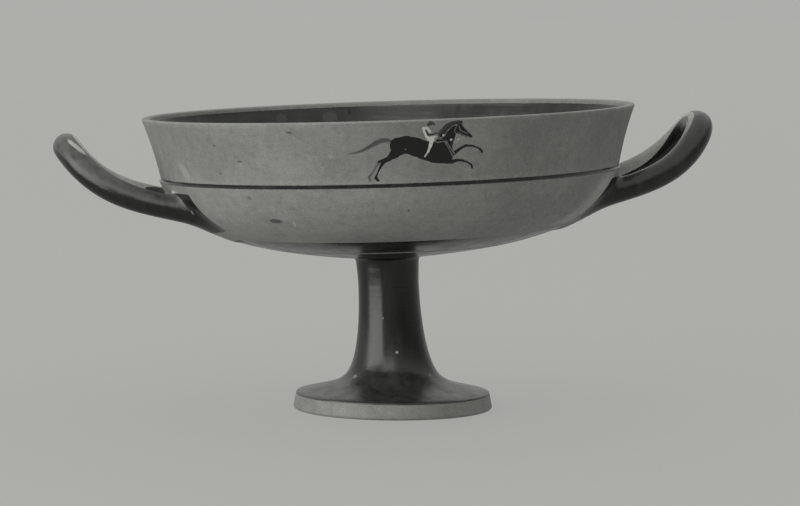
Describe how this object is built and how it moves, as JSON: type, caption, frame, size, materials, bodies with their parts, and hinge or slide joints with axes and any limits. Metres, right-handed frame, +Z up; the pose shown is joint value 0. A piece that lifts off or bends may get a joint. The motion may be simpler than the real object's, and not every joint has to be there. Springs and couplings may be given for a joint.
{
  "type": "kylix cup",
  "caption": "Shallow two-handled drinking cup with an offset flaring lip, a waisted stem and a disc foot, in fired clay with black gloss.",
  "frame": {"origin": "on the surface the cup stands on, under the middle of its overall box", "axes": "+Z up, +X through both handles towards the right one, -Y out of the front with the painted horse and rider"},
  "size_m": [0.2828, 0.21, 0.132],
  "materials": {
    "fired_clay": "smooth fired clay, painted over much of it with a glossy black slip"
  },
  "bodies": {
    "root": {"kylix": "fired_clay"}
  },
  "joints": []
}
